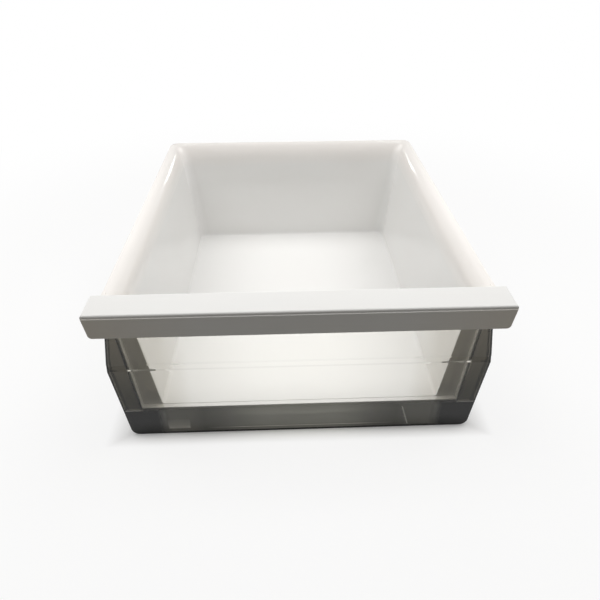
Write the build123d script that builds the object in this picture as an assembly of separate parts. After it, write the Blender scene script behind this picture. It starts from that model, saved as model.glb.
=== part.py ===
"""Fridge drawer: a white moulded tray, a clear stepped front panel and a two-piece white handle.

The drawer stands on the ground at z = 0, its handle faces -Y, and the origin is the middle of its footprint.
"""
import os

from build123d import *

# Whole drawer, in millimetres
DRAWER_DEPTH = 445.0          # handle's front face to the back edge of the rim
DRAWER_HEIGHT = 186.0         # ground to the top of the handle
FLOOR_HEIGHT = 32.5           # ground to the top of the tray's floor

# Tray
TRAY_WALL = 2.5
RIM_WIDTH = 372.0             # outside
RIM_FLAT = 1.5                # level edge outside the flare
RIM_LIP = 6.0                 # rim's edge, turned down
RIM_EDGE_RADIUS = 0.8
FLARE_DROP = 27.0             # rim down to the shoulder, where the wall starts to flare
FLARE_SPREAD = 18.0           # shoulder out to the level edge, at the sides
BACK_FLARE_SPREAD = 14.5
FLARE_FULLNESS = 0.55         # pull of the flare's curve towards its corner
FLARE_END_SLOPE = 0.2         # rise over run where the flare meets the level rim
FLARE_POINTS = 5              # places on the flare that its outside runs through
SIDE_DRAFT = 14.0             # shoulder in to the floor, at each side
BACK_DRAFT = 10.4
FLOOR_RADIUS = 4.0            # floor to wall, inside
CORNER_RADIUS = 13.0          # back wall to side wall, inside
RIM_CORNER_RADIUS = 13.0

# Tray's open front
FRAME_FLANGE = 23.5           # width of the flange beside the floor
FRAME_SETBACK = 7.6           # back of the panel to the frame's lip
FRAME_LIP = 5.3               # lip back to the flange
LEDGE_STEP = 0.5              # the ledge in front of the floor lies this much lower
LEDGE_DROP = 3.0              # edge of the ledge, turned down in front
RIM_RUN_UP = 14.0             # top part of the walls, which runs on to the panel

# Skids under the floor
SKID_WIDTH = 27.5
SKID_WALL = 2.2
SKID_CORNER_RADIUS = 5.0
SKID_BACK_INSET = 8.0         # back of the floor to the back of the skids

# Clear front panel
PANEL_THICKNESS = 2.8
PANEL_TOP_INSET = 4.0         # half widths, set against the edge of the rim
PANEL_BEND_OVERHANG = 10.5
PANEL_BOTTOM_OVERHANG = 1.5
PANEL_BEND_HEIGHT = 102.0     # ground to the widest place
PANEL_STEP_HEIGHT = 95.8      # ground to the foot of the sloping step across the panel
PANEL_STEP_RISE = 4.8         # foot of the step to its head
PANEL_STEP = 3.0              # the upper part stands this far behind the lower part
PANEL_STEP_RADIUS = 0.6       # the bends in the step
PANEL_CORNER_RADIUS = 9.0     # bottom corners of the outline
PANEL_SHOULDER_RADIUS = 14.0  # widest corners of the outline
PANEL_RETURN = 6.0            # depth of the edge that turns back behind the panel
PANEL_RETURN_WALL = 2.2
PANEL_RETURN_GAP = 4.0        # below the handle
PANEL_RIB_THICKNESS = 1.8     # rib that carries the tray's front ledge
PANEL_RIB_CLEARANCE = 2.0     # beside the skids

# Handle
HANDLE_OVERHANG = 9.0         # past the edge of the rim, at each end
HANDLE_HEIGHT = 25.8
HANDLE_DEPTH = 33.0           # front face to the back edge of the cap
HANDLE_END_SLANT = 2.9        # how far each end leans in from top to bottom
HANDLE_WALL = 2.8
HANDLE_CORNER_RADIUS = 4.0    # bottom corners of the front face
HANDLE_EDGE_RADIUS = 0.8
CAP_THICKNESS = 3.4
CAP_SETBACK = 0.6             # the cap's edge stands back from the body's faces
CAP_EDGE_RADIUS = 2.0
HOOK_COUNT = 5
HOOK_WIDTH = 28.0
HOOK_THICKNESS = 2.2
HOOK_DROP = 9.0
HOOK_MARGIN = 20.0            # shoulder of the tray's wall to the nearest hook

# Places that follow from the sizes
FRONT = -DRAWER_DEPTH / 2
BACK = DRAWER_DEPTH / 2
RIM_HALF = RIM_WIDTH / 2
RIM_TOP = DRAWER_HEIGHT - CAP_THICKNESS
SHOULDER_HEIGHT = RIM_TOP - FLARE_DROP
SHOULDER_HALF = RIM_HALF - RIM_FLAT - FLARE_SPREAD
SHOULDER_BACK = BACK - RIM_FLAT - BACK_FLARE_SPREAD
FLOOR_HALF = SHOULDER_HALF - SIDE_DRAFT
FLOOR_BACK = SHOULDER_BACK - BACK_DRAFT
UPPER_BACK = FRONT + HANDLE_DEPTH - HOOK_THICKNESS
UPPER_FRONT = UPPER_BACK - PANEL_THICKNESS
LOWER_FRONT = UPPER_FRONT - PANEL_STEP
LOWER_BACK = LOWER_FRONT + PANEL_THICKNESS
LIP_FRONT = LOWER_BACK + FRAME_SETBACK
FRAME_FRONT = LIP_FRONT + FRAME_LIP
LEDGE_UNDERSIDE = FLOOR_HEIGHT - LEDGE_STEP - TRAY_WALL
LEDGE_FOOT = LEDGE_UNDERSIDE - LEDGE_DROP
HANDLE_BOTTOM = DRAWER_HEIGHT - HANDLE_HEIGHT
SPARE = 20.0                  # how far a cutting block reaches past what it cuts
WIDE = RIM_HALF + PANEL_BEND_OVERHANG + HANDLE_OVERHANG + SPARE


def block(x0, x1, y0, y1, z0, z1):
    """A box between two corners."""
    return Pos((x0 + x1) / 2, (y0 + y1) / 2, (z0 + z1) / 2) * Box(x1 - x0, y1 - y0, z1 - z0)


def polygon(points):
    """A flat face inside straight lines."""
    return make_face(Polyline(*points, close=True))


def run_back(face, y0, y1):
    """An outline drawn in the front elevation, run from y0 back to y1."""
    return Pos(0, y1, 0) * extrude(Plane.XZ * face, amount=y1 - y0)


# Tray


def rim_block(inset, front, top, depth):
    """A block with the rim's outline, or that outline moved in, from one height down."""
    plan = RectangleRounded(2 * (RIM_HALF - inset), BACK - front - 2 * inset, RIM_CORNER_RADIUS - inset)
    return extrude(Pos(0, (front + BACK) / 2, top) * plan, amount=-depth)


def flare_curve(spread, draft):
    """The section of the rolled rim: it leaves the wall along its lean and ends close to level."""
    lean = draft / (SHOULDER_HEIGHT - FLOOR_HEIGHT)
    rise = FLARE_FULLNESS * FLARE_DROP
    run = FLARE_FULLNESS * spread
    last = (spread - run, FLARE_DROP - FLARE_END_SLOPE * run)
    return Bezier((0, 0), (lean * rise, rise), last, (spread, FLARE_DROP))


def wall_section(start, shoulder, spread, draft, grow):
    """A section of the space beside one wall, from a start line out to the wall or to its outside."""
    flare = flare_curve(spread, draft)
    points = []
    for number in range(FLARE_POINTS):
        along = flare @ (number / (FLARE_POINTS - 1))
        slope = flare % (number / (FLARE_POINTS - 1))
        points.append((shoulder + along.X + grow * slope.Y, SHOULDER_HEIGHT + along.Y - grow * slope.X))
    rolled = Spline(*points, tangents=[flare % 0, flare % 1])
    floor_z = FLOOR_HEIGHT - grow
    foot = (points[0][0] - draft * (points[0][1] - floor_z) / (SHOULDER_HEIGHT - FLOOR_HEIGHT), floor_z)
    straight = Polyline((start, points[-1][1]), (start, floor_z), foot, points[0])
    return make_face([*straight.edges(), rolled, Line(points[-1], (start, points[-1][1]))])


def basin(grow, front):
    """The space inside the tray's walls, or that space grown by the wall; it starts ahead of the tray."""
    right = run_back(wall_section(0, SHOULDER_HALF, FLARE_SPREAD, SIDE_DRAFT, grow), front, BACK + SPARE)
    back = wall_section(front, SHOULDER_BACK, BACK_FLARE_SPREAD, BACK_DRAFT, grow)
    across = Pos(-WIDE, 0, 0) * extrude(Plane.YZ * back, amount=2 * WIDE)
    space = (right + mirror(right, Plane.YZ)) & across
    upright = space.edges().filter_by(lambda edge: edge.bounding_box().size.Z > FLOOR_RADIUS)
    space = fillet(upright.filter_by(lambda edge: edge.center().Y > 0), CORNER_RADIUS + grow)
    space = fillet(space.faces().sort_by(Axis.Z)[0].edges(), FLOOR_RADIUS + grow)
    return space & rim_block(RIM_FLAT / 2, front - SPARE, RIM_TOP + SPARE, RIM_TOP + SPARE)


def rim_edge(front, plate_underside):
    """The level edge of the rim and its turned-down lip."""
    edge = rim_block(0, front, RIM_TOP, RIM_LIP)
    level_faces = edge.faces().filter_by(Axis.Z)
    edge = fillet([line for face in level_faces for line in face.edges()], RIM_EDGE_RADIUS)
    return edge - rim_block(TRAY_WALL, front, plate_underside, RIM_LIP)


def tray_shell(inside):
    """Floor, walls and flared rim, with the front end cut off."""
    front = FRONT - SPARE
    outside = basin(TRAY_WALL, front)
    shell = outside + rim_edge(front, outside.bounding_box().max.Z) - inside
    ahead = block(-WIDE, WIDE, front - SPARE, FRAME_FRONT, -SPARE, RIM_TOP - RIM_RUN_UP)
    ahead += block(-WIDE, WIDE, front - SPARE, UPPER_BACK, -SPARE, RIM_TOP + SPARE)
    return shell - ahead


def frame_outline(inset, top):
    """The tray's front frame: its outer edge, or that edge moved in by a wall."""
    half_top = RIM_HALF - inset
    half_bottom = FLOOR_HALF + FRAME_FLANGE - inset
    bottom = LEDGE_UNDERSIDE + inset
    return polygon([(-half_top, top), (-half_bottom, bottom), (half_bottom, bottom), (half_top, top)])


def front_frame(inside):
    """The flange round the open front, with a lip and a ledge that reach forward from it."""
    outline = frame_outline(0, RIM_TOP)
    flange = run_back(outline, FRAME_FRONT, FRAME_FRONT + TRAY_WALL) - inside
    lip = run_back(outline - frame_outline(TRAY_WALL, RIM_TOP + SPARE), LIP_FRONT, FRAME_FRONT)
    half = FLOOR_HALF + FRAME_FLANGE
    drop = block(-half, half, LIP_FRONT, LIP_FRONT + TRAY_WALL, LEDGE_FOOT, LEDGE_UNDERSIDE)
    return flange + lip + drop


def skid(side, inside):
    """A runner under one side of the floor: an upright wall round a hollow that is open below."""
    y0 = LIP_FRONT
    y1 = FLOOR_BACK - SKID_BACK_INSET
    x = side * (FLOOR_HALF - SKID_WIDTH / 2)
    outer = RectangleRounded(SKID_WIDTH, y1 - y0, SKID_CORNER_RADIUS)
    inner = offset(outer, -SKID_WALL)
    wall = extrude(outer - inner, amount=FLOOR_HEIGHT + FLOOR_RADIUS)
    above_ledge = block(-WIDE, WIDE, y0 - SPARE, FRAME_FRONT, LEDGE_UNDERSIDE, FLOOR_HEIGHT + SPARE)
    return Pos(x, (y0 + y1) / 2, 0) * wall - inside - above_ledge


def make_tray():
    """The white moulding: basin, flared rim, front frame and skids."""
    inside = basin(0, FRONT - 2 * SPARE)
    tray = tray_shell(inside) + front_frame(inside)
    for side in (-1, 1):
        tray += skid(side, inside)
    return tray


# Front panel


def step_line(depth):
    """The panel's stepped side line at a depth behind its front face, from the ground up."""
    return [
        (LOWER_FRONT + depth, 0.0),
        (LOWER_FRONT + depth, PANEL_STEP_HEIGHT),
        (UPPER_FRONT + depth, PANEL_STEP_HEIGHT + PANEL_STEP_RISE),
        (UPPER_FRONT + depth, RIM_TOP),
    ]


def panel_slab(start, stop):
    """The stepped side profile between two depths behind the front face, run past both sides."""
    face = polygon(step_line(start) + step_line(stop)[::-1])
    for depth in (start, stop):
        for point in step_line(depth)[1:3]:
            face = fillet(face.vertices().sort_by_distance(point)[0], PANEL_STEP_RADIUS)
    return Pos(-WIDE, 0, 0) * extrude(Plane.YZ * face, amount=2 * WIDE)


def panel_outline():
    """The panel seen from the front: widest at the step, with rounded lower corners."""
    low = RIM_HALF + PANEL_BOTTOM_OVERHANG
    bend = RIM_HALF + PANEL_BEND_OVERHANG
    high = RIM_HALF - PANEL_TOP_INSET
    right = [(low, 0.0), (bend, PANEL_BEND_HEIGHT), (high, RIM_TOP)]
    face = polygon(right + [(-x, z) for x, z in right[::-1]])
    for (x, z), radius in zip(right, (PANEL_CORNER_RADIUS, PANEL_SHOULDER_RADIUS)):
        for corner in ((x, z), (-x, z)):
            face = fillet(face.vertices().sort_by_distance(corner)[0], radius)
    return face


def make_front_panel():
    """The clear moulding: a stepped sheet with its edge turned back and a rib under the tray's ledge."""
    outline = panel_outline()
    y0 = LOWER_FRONT - SPARE
    y1 = UPPER_BACK + SPARE
    within = run_back(outline, y0, y1)
    sheet = panel_slab(0, PANEL_THICKNESS) & within
    rim = run_back(outline - offset(outline, -PANEL_RETURN_WALL, kind=Kind.INTERSECTION), y0, y1)
    turned = panel_slab(PANEL_THICKNESS, PANEL_THICKNESS + PANEL_RETURN) & rim
    turned -= block(-WIDE, WIDE, y0, y1, HANDLE_BOTTOM - PANEL_RETURN_GAP, DRAWER_HEIGHT)
    half = FLOOR_HALF - SKID_WIDTH - PANEL_RIB_CLEARANCE
    rib = block(-half, half, LOWER_BACK, LIP_FRONT + TRAY_WALL, LEDGE_FOOT - PANEL_RIB_THICKNESS, LEDGE_FOOT)
    return sheet + turned + rib


# Handle


def handle_elevation(inset, bottom, top):
    """The handle's front elevation between two heights, with its leaning ends moved in by a wall."""
    lean = HANDLE_END_SLANT / HANDLE_HEIGHT
    half = RIM_HALF + HANDLE_OVERHANG - inset
    low = half - lean * (DRAWER_HEIGHT - bottom)
    high = half - lean * (DRAWER_HEIGHT - top)
    return polygon([(-low, bottom), (low, bottom), (high, top), (-high, top)])


def make_handle_body():
    """The front skirt, ends and back of the handle: a frame round the finger gap, open below."""
    face = handle_elevation(0, HANDLE_BOTTOM, RIM_TOP)
    face = fillet(face.vertices().sort_by(Axis.Y)[:2], HANDLE_CORNER_RADIUS)
    body = run_back(face, FRONT, UPPER_FRONT)
    body = fillet(body.faces().sort_by(Axis.Y)[0].edges(), HANDLE_EDGE_RADIUS)
    gap = handle_elevation(HANDLE_WALL, HANDLE_BOTTOM - SPARE, RIM_TOP + SPARE)
    return body - run_back(gap, FRONT + HANDLE_WALL, UPPER_FRONT - HANDLE_WALL)


def make_handle_cap():
    """The top plate of the handle, with hooks that drop behind the panel's top edge."""
    half = RIM_HALF + HANDLE_OVERHANG - CAP_SETBACK
    cap = block(-half, half, FRONT + CAP_SETBACK, FRONT + HANDLE_DEPTH, RIM_TOP, DRAWER_HEIGHT)
    cap = fillet(cap.faces().sort_by(Axis.Z)[-1].edges(), CAP_EDGE_RADIUS)
    reach = SHOULDER_HALF - HOOK_MARGIN - HOOK_WIDTH / 2
    for number in range(HOOK_COUNT):
        x = reach * (2 * number / (HOOK_COUNT - 1) - 1)
        left = x - HOOK_WIDTH / 2
        right = x + HOOK_WIDTH / 2
        cap += block(left, right, UPPER_BACK, UPPER_BACK + HOOK_THICKNESS, RIM_TOP - HOOK_DROP, RIM_TOP)
    return cap


PIECES = {
    "tray": make_tray,
    "front_panel": make_front_panel,
    "handle_body": make_handle_body,
    "handle_cap": make_handle_cap,
}

os.makedirs("parts", exist_ok=True)
for name, make in PIECES.items():
    piece = make()
    piece.label = name
    export_step(piece, f"parts/{name}.step")
    size = piece.bounding_box().size
    print(f"{name}: {len(piece.solids())} solid, {piece.volume / 1000:.1f} cm3, "
          f"{size.X:.1f} x {size.Y:.1f} x {size.Z:.1f} mm")
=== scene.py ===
# %% [markdown]
# # A fridge drawer, finished and photographed
#
# The drawer has four moulded pieces: a white tray, a clear smoke-tinted front panel, and a white handle
# made of a body and a cap. Their shapes could be drawn here as meshes. They are loaded from the CAD
# frame instead, which already holds their walls, gaps and edges to size. This script gives each piece
# its finish, sets the drawer on a pale studio floor, and looks at it from above its handle.

# %% Load the frame
import math

import bpy
from mathutils import Matrix, Vector


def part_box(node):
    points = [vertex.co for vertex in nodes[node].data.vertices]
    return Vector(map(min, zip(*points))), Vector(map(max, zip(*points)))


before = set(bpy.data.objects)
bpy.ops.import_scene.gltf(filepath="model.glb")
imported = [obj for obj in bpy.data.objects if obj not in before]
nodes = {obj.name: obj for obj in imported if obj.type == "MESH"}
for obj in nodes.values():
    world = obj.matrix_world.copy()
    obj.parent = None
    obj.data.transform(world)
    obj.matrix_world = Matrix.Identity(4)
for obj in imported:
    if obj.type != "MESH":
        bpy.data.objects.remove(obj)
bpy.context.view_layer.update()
print("CAD pieces:", ", ".join(sorted(nodes)))

# %% [markdown]
# ## Small helpers for node materials
#
# Every finish below is a Principled shader fed by a few texture nodes. Such a material could be put
# together by hand in the Shader Editor. It is written out with a few helpers, so that it comes out the
# same on every run and reads as a short list of what it is made of.

# %% Materials, nodes and links
def start_material(name):
    """A new node material, with its Principled shader."""
    material = bpy.data.materials.new(name)
    material.use_nodes = True
    return material, material.node_tree.nodes["Principled BSDF"]


def add(material, kind, **inputs):
    """A new node with values for its named inputs."""
    node = material.node_tree.nodes.new(kind)
    for label, value in inputs.items():
        node.inputs[label.replace("_", " ")].default_value = value
    return node


def wire(material, source, target):
    """Feeds an input socket, from an output socket or with a constant."""
    if isinstance(source, bpy.types.NodeSocket):
        material.node_tree.links.new(source, target)
    else:
        target.default_value = source


print("helpers for nodes: start_material, add, wire")

# %% Numbers that change over a surface
def calculate(material, operation, first, second=0.0):
    """A Math node on one or two values, each a socket or a number; it returns the result's socket."""
    node = add(material, "ShaderNodeMath")
    node.operation = operation
    for value, socket in zip((first, second), node.inputs):
        wire(material, value, socket)
    return node.outputs[0]


def fade(material, value, low, high, low_result, high_result):
    """A Map Range node: it turns a value between low and high into one between the two results."""
    node = add(
        material, "ShaderNodeMapRange",
        From_Min=low, From_Max=high, To_Min=low_result, To_Max=high_result,
    )
    wire(material, value, node.inputs["Value"])
    return node.outputs["Result"]


print("helpers for numbers: calculate, fade")

# %% Colours and shaders that change over a surface
COLOUR_INPUTS = (6, 7)            # the sockets of a Mix node that take and give colours
COLOUR_OUTPUT = 2


def blend(material, factor, first, second):
    """A Mix node between two colours, each a socket or four numbers; it returns the result's socket."""
    node = add(material, "ShaderNodeMix")
    node.data_type = "RGBA"
    wire(material, factor, node.inputs["Factor"])
    for value, place in zip((first, second), COLOUR_INPUTS):
        wire(material, value, node.inputs[place])
    return node.outputs[COLOUR_OUTPUT]


def mix_shaders(material, factor, first, second, output):
    """Sends a mix of two shaders to the output node of a material or a world."""
    mix = add(material, "ShaderNodeMixShader")
    for source, target in zip((factor, first, second), mix.inputs):
        wire(material, source, target)
    wire(material, mix.outputs["Shader"], material.node_tree.nodes[output].inputs["Surface"])


print("helpers for colours and shaders: blend, mix_shaders")

# %% [markdown]
# ## White moulded plastic
#
# The tray and the handle are injection moulded in the same white plastic. A moulding is never one flat
# colour: the melt leaves soft clouds of slightly warmer white, and the steel of the mould leaves a faint
# texture. A rim or an end also looks a little warmer, which is a painted warm reflection of warm
# surroundings. All of it could be painted on an image. Noises and masks on Object coordinates are used
# instead: they need no unwrapping, and they are in metres on the real drawer. A large noise drives the
# clouds and the gloss, a soft mask drives the painted warm reflection, and a very fine noise drives a
# small bump.

# %% Places and noises on a piece
def object_place(material):
    """A place on a piece in metres, as one socket and as a socket for each axis."""
    place = add(material, "ShaderNodeTexCoord").outputs["Object"]
    axes = add(material, "ShaderNodeSeparateXYZ")
    wire(material, place, axes.inputs["Vector"])
    return place, axes.outputs


def noise(material, place, per_metre, detail):
    """A soft random pattern, as a socket with values around a half."""
    node = add(material, "ShaderNodeTexNoise", Scale=per_metre, Detail=detail)
    wire(material, place, node.inputs["Vector"])
    return node.outputs["Fac"]


print("helpers for places: object_place, noise")

# %% Painted reflection mask and grain
PAINTED_REFLECTION_SOFTNESS = 0.003
GRAIN_PER_METRE = 1400.0
GRAIN_DETAIL = 2.0
GRAIN_DEPTH = 0.0002


def painted_reflection_mask(material, axis, stretch, height, below):
    """A mask for painted warm reflection: 1 past a stretch of one axis, to both sides, and only below a
    height.
    """
    far_out = fade(material, calculate(material, "ABSOLUTE", axis), *stretch, 0.0, 1.0)
    low_down = fade(material, height, below, below + PAINTED_REFLECTION_SOFTNESS, 1.0, 0.0)
    return calculate(material, "MULTIPLY", far_out, low_down)


def grain_normal(material, place, strength):
    """A surface direction that a fine grain tilts a little."""
    specks = noise(material, place, GRAIN_PER_METRE, GRAIN_DETAIL)
    bump = add(material, "ShaderNodeBump", Strength=strength, Distance=GRAIN_DEPTH)
    wire(material, specks, bump.inputs["Height"])
    return bump.outputs["Normal"]


print(f"grain: {1000 / GRAIN_PER_METRE:.1f} mm wide, up to {1000 * GRAIN_DEPTH} mm deep")

# %% White plastic
CLOUDS_PER_METRE = 14.0
CLOUD_DETAIL = 3.0
CLOUD_RANGE = (0.3, 0.7)          # nearly all of a noise lies between these values


def white_plastic(name, tones, painted_reflection_axis, painted_reflection_stretch, painted_reflection_below, gloss, grain):
    """White plastic from a pale tone, a warm tone and a tone of painted warm reflection, a range of
    roughness and a strength of grain.
    """
    pale, warm, painted_reflection_tone = tones
    material, shader = start_material(name)
    place, axes = object_place(material)
    clouds = noise(material, place, CLOUDS_PER_METRE, CLOUD_DETAIL)
    tone = blend(material, clouds, pale, warm)
    # painted warm reflection: a mask blends in the third tone, on the tray's rim and at the handle's ends
    painted_reflection = painted_reflection_mask(material, axes[painted_reflection_axis], painted_reflection_stretch, axes["Z"], painted_reflection_below)
    wire(material, blend(material, painted_reflection, tone, painted_reflection_tone), shader.inputs["Base Color"])
    wire(material, fade(material, clouds, *CLOUD_RANGE, *gloss), shader.inputs["Roughness"])
    wire(material, grain_normal(material, place, grain), shader.inputs["Normal"])
    print(f"{name}: roughness {gloss[0]} to {gloss[1]}")
    return material


def dress(names, material):
    """Gives one material to CAD pieces."""
    for name in names:
        nodes[name].data.materials.clear()
        nodes[name].data.materials.append(material)
        print(f"{name}: {material.name}")


print(f"white plastic: clouds {100 / CLOUDS_PER_METRE:.0f} cm wide")

# %% [markdown]
# ## Tray
#
# The tray is the basin that holds the food. It comes from a polished mould, so its walls mirror each
# other softly, and its rolled rim carries a painted warm reflection that makes it a little warmer than its
# walls. The gloss could be a clear coat over a matt base. A low roughness says the same with one value,
# and the painted warm reflection on the rim is a mask on the height.

# %% Tray
TRAY_TONES = (                    # pale, warm, and painted warm reflection
    (0.92, 0.92, 0.905, 1.0),
    (0.91, 0.90, 0.885, 1.0),
    (0.95, 0.915, 0.88, 1.0),
)
PAINTED_RIM_REFLECTION = (0.150, 0.172)       # heights between which the rim takes on its painted warm reflection
ANY_HEIGHT = 1.0                  # above all of the drawer
TRAY_GLOSS = (0.05, 0.09)
TRAY_GRAIN = 0.02

# the tray's rim gets a painted warm reflection above these heights
tray_white = white_plastic("tray_white", TRAY_TONES, "Z", PAINTED_RIM_REFLECTION, ANY_HEIGHT, TRAY_GLOSS, TRAY_GRAIN)
dress(["tray"], tray_white)

# %% [markdown]
# ## Handle
#
# The handle is a long hollow grip with a cap on top. It is satin where the tray is glossy, and its ends
# are a little yellower and darker, which is painted warm reflection and shade. The ends could be two small
# pieces with a colour of their own. A mask on the width paints it instead, so that the warm tone comes in
# slowly from the middle, and the cap's top stays pale.

# %% Handle
HANDLE_TONES = (                  # pale, warm, and painted warm reflection and shade
    (0.86, 0.86, 0.845, 1.0),
    (0.85, 0.84, 0.82, 1.0),
    (0.80, 0.76, 0.69, 1.0),
)
PAINTED_END_REFLECTION = (0.09, 0.19)         # half widths between which the painted warm reflection and shade comes in
BELOW_CAP_TOP = 0.181
HANDLE_GLOSS = (0.36, 0.46)
HANDLE_GRAIN = 0.08

# the handle's ends get painted warm reflection and shade, below the cap's top
handle_white = white_plastic(
    "handle_white", HANDLE_TONES, "X", PAINTED_END_REFLECTION, BELOW_CAP_TOP, HANDLE_GLOSS, HANDLE_GRAIN
)
dress(["handle_body", "handle_cap"], handle_white)

# %% [markdown]
# ## Clear smoke-tinted panel
#
# The front panel is one clear moulding with a light smoke tint. Its window shows the inside of the tray,
# and round the window it reads as a dark border, where dark, shaded ground shows through the clear
# plastic.
# The border could be a dark sheet behind the panel. It is painted shade in the panel's own tint, because
# the real panel is one piece of one plastic. The tint follows lines on the panel, so its outline is
# measured first, on the CAD piece.

# %% Outline that the tint follows
panel_low, panel_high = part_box("front_panel")
FOOT_BAND = 0.012
HEAD_BAND = 0.001

panel_points = [vertex.co for vertex in nodes["front_panel"].data.vertices]
shoulder = max(panel_points, key=lambda point: point.x)
panel_foot = max(point.x for point in panel_points if point.z < panel_low.z + FOOT_BAND)
panel_head = max(point.x for point in panel_points if point.z > panel_high.z - HEAD_BAND)
print(f"panel half widths: foot {panel_foot:.4f}, shoulder {shoulder.x:.4f} at {shoulder.z:.4f}, "
      f"head {panel_head:.4f}")

# %% Start of the panel's plastic
smoke, smoke_shader = start_material("smoke_clear")
panel_place, panel_axes = object_place(smoke)
across, deep, height = panel_axes
half = calculate(smoke, "ABSOLUTE", across)
print(f"{smoke.name}: the tint follows", ", ".join(socket.name for socket in panel_axes))

# %% Soft masks
LINE_HALF = 0.0005
LINE_SOFTNESS = 0.0008


def along(material, height, low_point, high_point):
    """Half width at a height on the straight line between two (half width, height) points."""
    slope = (high_point[0] - low_point[0]) / (high_point[1] - low_point[1])
    rise = calculate(material, "SUBTRACT", height, low_point[1])
    return calculate(material, "ADD", calculate(material, "MULTIPLY", rise, slope), low_point[0])


def past(material, value, line):
    """A soft mask that is 1 where a value lies past a line."""
    beyond = calculate(material, "SUBTRACT", value, line)
    return fade(material, beyond, -LINE_SOFTNESS, LINE_SOFTNESS, 0.0, 1.0)


def between(material, value, low, high):
    """A soft mask that is 1 where a value lies between two lines."""
    return calculate(material, "SUBTRACT", past(material, value, low), past(material, value, high))


def thin_line(material, value, line):
    """A mask that is 1 on a thin line."""
    distance = calculate(material, "ABSOLUTE", calculate(material, "SUBTRACT", value, line))
    return fade(material, distance, LINE_HALF, 2 * LINE_HALF, 1.0, 0.0)


print(f"masks: edges {2000 * LINE_SOFTNESS} mm soft, thin lines {2000 * LINE_HALF} mm wide")

# %% [markdown]
# ### Window, lip and border
#
# Through the middle of the panel the tray's inside shows almost untinted. Near the sides the window
# turns a little smokier, which is painted shade for the shaded front of the tray's side walls behind it.
# The tray's lip behind it reads as a grey post on each side: the panel's smoke, deepened by painted shade.
# Past the lip the panel reads dark, most of all low down: painted shade for the dark, shaded ground seen
# through the clear plastic. Each part could be a face with a material of its own. Masks on slanted lines
# blend the parts in one material, because edges seen through plastic are soft.

# %% Window, lip and border
# The window's side smoke, the post smoke and the border colours hold painted shade, on top of the panel's
# light smoke.
WINDOW_SMOKE = (0.99, 0.985, 0.96, 1.0)
WINDOW_SIDE_SMOKE_AND_SHADE = (0.87, 0.85, 0.80, 1.0)
POST_SMOKE_AND_SHADE = (0.70, 0.675, 0.60, 1.0)
PAINTED_BORDER_SHADE_LOW = (0.022, 0.020, 0.013, 1.0)
PAINTED_BORDER_SHADE_HIGH = (0.070, 0.062, 0.046, 1.0)
WINDOW_FADE = (0.115, 0.140)      # half widths between which the window turns smokier, with painted shade
POST_FOOT = (0.1480, 0.050)       # half width and height of two places on the inner line of the tray's lip
POST_HEAD = (0.1589, 0.1355)
BORDER_FOOT = (0.1712, 0.048)     # the same on the border's inner line
BORDER_HEAD = (0.1793, 0.135)
BORDER_FADE = (0.055, 0.130)      # heights between which the border's painted shade lightens

# painted shade on the window's sides, on the lip posts and on the dark border
window_side_shade = fade(smoke, half, *WINDOW_FADE, 0.0, 1.0)
post = past(smoke, half, along(smoke, height, POST_FOOT, POST_HEAD))
border = past(smoke, half, along(smoke, height, BORDER_FOOT, BORDER_HEAD))
rising = fade(smoke, height, *BORDER_FADE, 0.0, 1.0)
border_shade = blend(smoke, rising, PAINTED_BORDER_SHADE_LOW, PAINTED_BORDER_SHADE_HIGH)
tint = blend(smoke, window_side_shade, WINDOW_SMOKE, WINDOW_SIDE_SMOKE_AND_SHADE)
tint = blend(smoke, post, tint, POST_SMOKE_AND_SHADE)
tint = blend(smoke, border, tint, border_shade)
print(f"window: {2 * POST_FOOT[0]:.3f} m wide at its foot, {2 * POST_HEAD[0]:.3f} m at its head")

# %% [markdown]
# ### Lower band
#
# Below the tray's ledge the panel reaches down to the ground, and the dim space under the tray shows
# through it. The band is lightest in the middle and dark at its rounded corners, and the skids under the
# tray show a little lighter. It could be left to the light alone. A tint of painted shade is used as well,
# so that the band stays dark on a pale floor: it darkens the band towards its corners, less where the
# skids show.

# %% Lower band
BAND_MIDDLE_SMOKE = (0.80, 0.81, 0.76, 1.0)
BAND_SIDE_SHADE = (0.28, 0.28, 0.25, 1.0)
SKID_PAINTED_SHADE = (0.40, 0.40, 0.36, 1.0)
BAND_CORNER_SHADE = (0.003, 0.003, 0.002, 1.0)
BAND_TOP = 0.0375
BAND_FADE = (0.03, 0.115)         # half widths between which the lower band's painted shade darkens
SKID_FADE = (0.106, 0.122)        # half widths between which a skid comes into sight
CORNER_FADE = (0.143, 0.156)      # half widths between which the corner turns dark with painted shade

in_band = calculate(smoke, "SUBTRACT", 1.0, past(smoke, height, BAND_TOP))
spreading = fade(smoke, half, *BAND_FADE, 0.0, 1.0)
spreading.node.interpolation_type = "SMOOTHSTEP"
skid = fade(smoke, half, *SKID_FADE, 0.0, 1.0)
corner = fade(smoke, half, *CORNER_FADE, 0.0, 1.0)
# painted shade, from the middle of the band out to its corners
band_shade = blend(smoke, spreading, BAND_MIDDLE_SMOKE, BAND_SIDE_SHADE)
band_shade = blend(smoke, skid, band_shade, SKID_PAINTED_SHADE)
band_shade = blend(smoke, corner, band_shade, BAND_CORNER_SHADE)
tint = blend(smoke, in_band, tint, band_shade)
print(f"lower band: {1000 * BAND_TOP} mm high")

# %% [markdown]
# ### Painted highlights
#
# A few places behind the dark plastic catch the light: the foot of the left skid, an edge of the right
# skid, the turned edge at the foot of the panel, and the ends of the ledge beside the lip. They could be
# small lamps or glowing faces. They are painted highlights: light spots in the tint, which on the drawer
# only shine while light falls on them.

# %% Painted highlight at the foot of the left skid
PATCH_SIDES = (-0.1465, -0.1225)
PATCH_HEIGHTS = (0.0075, 0.0230)

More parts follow.
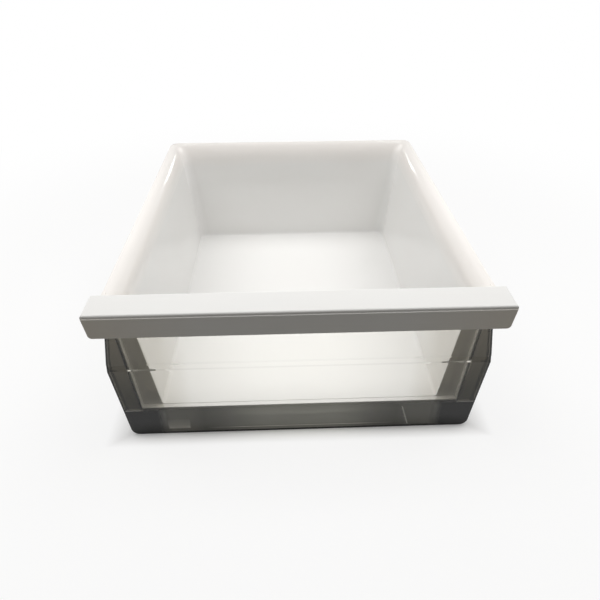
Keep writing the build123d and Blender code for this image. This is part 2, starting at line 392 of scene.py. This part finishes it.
# painted highlight: a light spot in the tint where the left skid's foot shows through
patch_low = past(smoke, height, PATCH_HEIGHTS[0])
patch_fade = fade(smoke, height, *PATCH_HEIGHTS, 1.0, 0.0)
patch_height = calculate(smoke, "MULTIPLY", patch_low, patch_fade)
patch = calculate(smoke, "MULTIPLY", between(smoke, across, *PATCH_SIDES), patch_height)
print(f"light patch: {1000 * (PATCH_SIDES[1] - PATCH_SIDES[0]):.0f} mm wide")

# %% Thin painted highlights
SKID_EDGE = ((0.120, 0.004), (0.1112, 0.033))   # the painted highlight on the right skid's edge, from its foot up
FOOT_LINE_HEIGHT = 0.0072
FOOT_LINE_FADE = (0.065, 0.105)   # half widths between which the painted highlight at the foot ends
PAINTED_HIGHLIGHT_TINT = (0.90, 0.89, 0.84, 1.0)

# painted highlights: thin light lines in the tint, along the right skid's edge, the panel's foot and the
# ledge's ends
skid_line = thin_line(smoke, across, along(smoke, height, *SKID_EDGE))
skid_height = between(smoke, height, SKID_EDGE[0][1], SKID_EDGE[1][1])
skid_edge_highlight = calculate(smoke, "MULTIPLY", skid_line, skid_height)
foot_width = fade(smoke, half, *FOOT_LINE_FADE, 1.0, 0.0)
foot_highlight = calculate(smoke, "MULTIPLY", thin_line(smoke, height, FOOT_LINE_HEIGHT), foot_width)
ledge_highlight = calculate(smoke, "MULTIPLY", thin_line(smoke, height, BAND_TOP), border)
painted_highlights = calculate(smoke, "MAXIMUM", patch, calculate(smoke, "MAXIMUM", skid_edge_highlight, foot_highlight))
tint = blend(smoke, calculate(smoke, "MAXIMUM", ledge_highlight, painted_highlights), tint, PAINTED_HIGHLIGHT_TINT)
print(f"light lines: at the foot {1000 * FOOT_LINE_HEIGHT} mm up, beside the lip {1000 * BAND_TOP} mm up")

# %% [markdown]
# ### Edges of the panel
#
# Light that enters clear plastic near its edge leaves it to the side, so the outline looks black. A
# render could show this with many light bounces. A narrow black tint along the measured outline shows it
# with few. Behind the outline the edge turns back towards the tray. That part is seen from outside and
# keeps a lighter smoke, by a mask that starts behind the sheet and follows its step.

# %% Dark outline
EDGE_SMOKE = (0.001, 0.001, 0.001, 1.0)
EDGE_WIDTH = 0.0025

lower_side = along(smoke, height, (panel_foot, 0.0), (shoulder.x, shoulder.z))
upper_side = along(smoke, height, (shoulder.x, shoulder.z), (panel_head, panel_high.z))
outline = calculate(smoke, "MINIMUM", lower_side, upper_side)
edge_sides = past(smoke, half, calculate(smoke, "SUBTRACT", outline, EDGE_WIDTH))
edge_foot = calculate(smoke, "SUBTRACT", 1.0, past(smoke, height, EDGE_WIDTH))
tint = blend(smoke, calculate(smoke, "MAXIMUM", edge_sides, edge_foot), tint, EDGE_SMOKE)
print(f"outline: {1000 * EDGE_WIDTH} mm wide")

# %% Turned-back edge
RETURN_SMOKE = (0.40, 0.39, 0.35, 1.0)
SHEET = 0.0046                    # depth behind the panel's front past which only its turned edge reaches
STEP_BACK = 0.0030                # the upper part stands this far behind the lower part
STEP_HEIGHTS = (0.0958, 0.1006)

set_back = fade(smoke, height, *STEP_HEIGHTS, 0.0, STEP_BACK)
from_front = calculate(smoke, "SUBTRACT", deep, panel_low.y)
behind = calculate(smoke, "SUBTRACT", from_front, set_back)
tint = blend(smoke, past(smoke, behind, SHEET), tint, RETURN_SMOKE)
print(f"turned-back edge: from {1000 * SHEET} mm behind the front")

# %% [markdown]
# ### How the panel meets the light
#
# Clear plastic lets most light through, mirrors a little, and looks milky where its surface is marked.
# Here the lower band is milky, and so are the painted highlights.
# The panel could be a Glass shader. The Principled shader is used, because its Transmission Weight can
# sink where the plastic is milky. The IOR is a little below a real plastic's, so that the mirrored white
# floor does not wash out the dark corners. Light from the lamps would hardly find its way through a
# refracting panel, so shadow rays and bounced rays pass it straight, coloured by the same tint.

# %% Haze and gloss
BAND_HAZE = 0.6                   # shares that scatter light
LEDGE_HIGHLIGHT_HAZE = 0.45
SMOKE_CLOUDS_PER_METRE = 30.0
SMOKE_CLOUD_DETAIL = 2.0
SMOKE_GLOSS = (0.01, 0.03)
SMOKE_IOR = 1.42

# the painted highlights are milky as well, so they light up under the front light
band_haze = calculate(smoke, "MULTIPLY", in_band, BAND_HAZE)
line_haze = calculate(smoke, "MULTIPLY", ledge_highlight, LEDGE_HIGHLIGHT_HAZE)
haze = calculate(smoke, "MAXIMUM", painted_highlights, calculate(smoke, "MAXIMUM", band_haze, line_haze))
smoke_clouds = noise(smoke, panel_place, SMOKE_CLOUDS_PER_METRE, SMOKE_CLOUD_DETAIL)
smoke_roughness = fade(smoke, smoke_clouds, *CLOUD_RANGE, *SMOKE_GLOSS)
wire(smoke, tint, smoke_shader.inputs["Base Color"])
wire(smoke, calculate(smoke, "SUBTRACT", 1.0, haze), smoke_shader.inputs["Transmission Weight"])
wire(smoke, smoke_roughness, smoke_shader.inputs["Roughness"])
smoke_shader.inputs["IOR"].default_value = SMOKE_IOR
print(f"{smoke.name}: IOR {SMOKE_IOR}, roughness {SMOKE_GLOSS[0]} to {SMOKE_GLOSS[1]}")

# %% Light that passes the panel
smoke_rays = add(smoke, "ShaderNodeLightPath").outputs
clear = add(smoke, "ShaderNodeBsdfTransparent")
wire(smoke, tint, clear.inputs["Color"])
passing = calculate(smoke, "MAXIMUM", smoke_rays["Is Shadow Ray"], smoke_rays["Is Diffuse Ray"])
mix_shaders(smoke, passing, smoke_shader.outputs["BSDF"], clear.outputs["BSDF"], "Material Output")
dress(["front_panel"], smoke)

# %% [markdown]
# ## Studio floor
#
# A product shot like this one stands on a white floor that runs on past the picture. It could be a paper
# sweep that curves up behind the drawer. A flat floor under a white backdrop shows the same and needs
# one plane. It bounces less light than a white floor would, which keeps the handle's front in soft grey
# shade, and a mix with a white glow shows it white. A soft shadow stays close to the drawer. Under the
# drawer the floor is left as dark as it really is, because it shows through the clear panel.

# %% Floor plane
FLOOR_SIZE = 24.0
FLOOR_DROP = 0.0004

bpy.ops.mesh.primitive_plane_add(size=FLOOR_SIZE, location=(0, 0, -FLOOR_DROP))
floor = bpy.context.object
floor.name = "studio_floor"
print(f"floor: {FLOOR_SIZE} m square, {1000 * FLOOR_DROP} mm under the drawer")

# %% Floor paint
FLOOR_WHITE = (0.93, 0.93, 0.93, 1.0)
FLOOR_BOUNCE = (0.205, 0.198, 0.186, 1.0)
FLOOR_ROUGHNESS = 0.9

floor_paint, floor_shader = start_material("floor_paint")
floor_rays = add(floor_paint, "ShaderNodeLightPath").outputs
floor_tone = blend(floor_paint, floor_rays["Is Diffuse Ray"], FLOOR_WHITE, FLOOR_BOUNCE)
wire(floor_paint, floor_tone, floor_shader.inputs["Base Color"])
floor_shader.inputs["Roughness"].default_value = FLOOR_ROUGHNESS
floor_shader.inputs["Specular IOR Level"].default_value = 0.0
floor.data.materials.append(floor_paint)
print(f"{floor_paint.name}: shows {FLOOR_WHITE[0]} and bounces {FLOOR_BOUNCE[0]}")

# %% White round the drawer
SHADOW_LIFT = (0.79, 1.0)           # how white the floor shows, near the drawer and far away
WHITE_OUT = (0.35, 1.0)             # distances from the drawer between which it turns white
UNDER_HALF_WIDTH = (0.185, 0.215)   # where the dark floor under the drawer ends, sideways and lengthways
UNDER_HALF_DEPTH = (0.194, 0.215)

floor_place, floor_axes = object_place(floor_paint)
beside = calculate(floor_paint, "ABSOLUTE", floor_axes["X"])
ahead = calculate(floor_paint, "ABSOLUTE", floor_axes["Y"])
past_sides = fade(floor_paint, beside, *UNDER_HALF_WIDTH, 0.0, 1.0)
past_ends = fade(floor_paint, ahead, *UNDER_HALF_DEPTH, 0.0, 1.0)
outside = calculate(floor_paint, "MAXIMUM", past_sides, past_ends)
span = add(floor_paint, "ShaderNodeVectorMath")
span.operation = "LENGTH"
wire(floor_paint, floor_place, span.inputs["Vector"])
whiteness = fade(floor_paint, span.outputs["Value"], *WHITE_OUT, *SHADOW_LIFT)
whiteness.node.interpolation_type = "SMOOTHSTEP"
print(f"floor: white from {WHITE_OUT[1]} m away from the drawer's middle")

# %% Floor as it is seen
def seen_rays(material):
    """A mask that is 1 for the rays that show a surface: direct, mirrored, or through clear plastic."""
    rays = add(material, "ShaderNodeLightPath").outputs
    seen = calculate(material, "MAXIMUM", rays["Is Camera Ray"], rays["Is Glossy Ray"])
    return calculate(material, "MAXIMUM", seen, rays["Is Transmission Ray"])


glow = add(floor_paint, "ShaderNodeEmission", Strength=1.0)
shown = calculate(floor_paint, "MULTIPLY", seen_rays(floor_paint), outside)
lift = calculate(floor_paint, "MULTIPLY", shown, whiteness)
mix_shaders(floor_paint, lift, floor_shader.outputs["BSDF"], glow.outputs["Emission"], "Material Output")
print(f"floor: {SHADOW_LIFT[0]} of its shadow is lifted close to the drawer")

# %% [markdown]
# ## Studio light
#
# The light in such a studio is soft and comes from above. One wide lamp could give it, but would fade
# towards the sides of the floor. Two broad suns that lean in from the left and the right keep the floor
# even. A softbox hangs low above the tray, behind the handle's front face: it brightens the tray's walls
# and its rolled rim, and leaves the faces that look at the camera in grey shade. It is kept out of
# reflections, so that the glossy tray does not mirror it as a bright bar. Three more lamps stand low at
# the sides and behind, for the outside of the walls.

# %% Suns
SUN_STRENGTH = 0.94
SUN_LEAN = math.radians(28)       # sideways from straight up
SUN_BACK = math.radians(7)        # back from straight up
SUN_DISC = math.radians(38)

for side, side_name in ((-1, "left"), (1, "right")):
    towards = Vector((side * math.tan(SUN_LEAN), math.tan(SUN_BACK), 1.0))
    turn = towards.to_track_quat("Z", "Y").to_euler()
    bpy.ops.object.light_add(type="SUN", location=towards.normalized(), rotation=turn)
    sun = bpy.context.object
    sun.name = f"{side_name}_sun"
    sun.data.energy = SUN_STRENGTH
    sun.data.angle = SUN_DISC
    print(f"{sun.name}: strength {SUN_STRENGTH}")

# %% Softbox over the tray
SOFTBOX_PLACE = (0.0, -0.03, 0.48)
SOFTBOX_AIM = Vector((0.0, -0.03, 0.0))
SOFTBOX_SIZE = (1.0, 0.37)
SOFTBOX_POWER = 1.0


def add_softbox(name, place, aim, size, power):
    """A rectangular lamp that is turned to a point and does not show to the camera."""
    turn = (Vector(place) - aim).to_track_quat("Z", "Y").to_euler()
    bpy.ops.object.light_add(type="AREA", location=place, rotation=turn)
    lamp = bpy.context.object
    lamp.name = name
    lamp.data.shape = "RECTANGLE"
    lamp.data.size, lamp.data.size_y = size
    lamp.data.energy = power
    lamp.visible_camera = False
    print(f"{name}: {power} W, {place[2]} m up")
    return lamp


softbox = add_softbox("softbox", SOFTBOX_PLACE, SOFTBOX_AIM, SOFTBOX_SIZE, SOFTBOX_POWER)
softbox.visible_glossy = False

# %% Low lamps at the sides and behind
FILLS = (                         # name, place, power
    ("left_fill", (-1.2, 0.05, 0.22), 2.6),
    ("right_fill", (1.2, 0.05, 0.22), 2.6),
    ("back_fill", (0.0, 1.4, 0.22), 4.0),
)
FILL_AIM = Vector((0.0, 0.05, 0.09))
FILL_SIZE = (0.9, 0.35)

for fill_name, fill_place, fill_power in FILLS:
    add_softbox(fill_name, fill_place, FILL_AIM, FILL_SIZE, fill_power)

# %% [markdown]
# ## Surroundings
#
# Behind the floor stands a white backdrop. It could be a large white wall, which would also throw light
# back at the drawer. The world's background is used, because it can be one thing to the eye and another
# to the drawer: it shows white, directly, in mirrors and through the panel, and gives only a faint warm
# light.

# %% Surroundings
BACKDROP_WHITE = (1.0, 1.0, 1.0, 1.0)
SHADE_COLOUR = (1.0, 0.96, 0.88, 1.0)
SHADE_STRENGTH = 0.12

world = bpy.data.worlds.new("studio")
world.use_nodes = True
bpy.context.scene.world = world
shade = world.node_tree.nodes["Background"]
shade.inputs["Color"].default_value = SHADE_COLOUR
shade.inputs["Strength"].default_value = SHADE_STRENGTH
white = add(world, "ShaderNodeBackground", Color=BACKDROP_WHITE, Strength=1.0)
backdrop = white.outputs["Background"]
mix_shaders(world, seen_rays(world), shade.outputs["Background"], backdrop, "World Output")
print(f"surroundings: white to the eye, light of {SHADE_STRENGTH}")

# %% [markdown]
# ## Camera
#
# The photograph was taken close up, from about a forearm's length in front of the handle. A camera could
# be turned by hand until the picture agrees. Its place and angles are written as numbers instead, which
# were fitted to the drawer's edges. It stands a little left of the middle, looks down by 36 degrees and
# turns 2 degrees to the right.

# %% Camera
CAMERA_PLACE = Vector((-0.0143, -0.5874, 0.4653))
CAMERA_PITCH = math.radians(36.14)
CAMERA_YAW = math.radians(2.0)
CAMERA_ROLL = math.radians(-0.16)
CAMERA_LENS = 31.33
SENSOR_WIDTH = 36.0

bpy.ops.object.camera_add()
camera = bpy.context.object
camera.name = "camera"
level = Matrix.Rotation(-CAMERA_YAW, 4, "Z") @ Matrix.Rotation(math.pi / 2 - CAMERA_PITCH, 4, "X")
camera.matrix_world = Matrix.Translation(CAMERA_PLACE) @ level @ Matrix.Rotation(CAMERA_ROLL, 4, "Z")
camera.data.lens = CAMERA_LENS
camera.data.sensor_width = SENSOR_WIDTH
camera.data.dof.use_dof = False
bpy.context.scene.camera = camera
bpy.context.scene.view_settings.view_transform = "Standard"
sight = camera.matrix_world.to_3x3() @ Vector((0, 0, -1))
print("camera looks along", [round(value, 3) for value in sight])
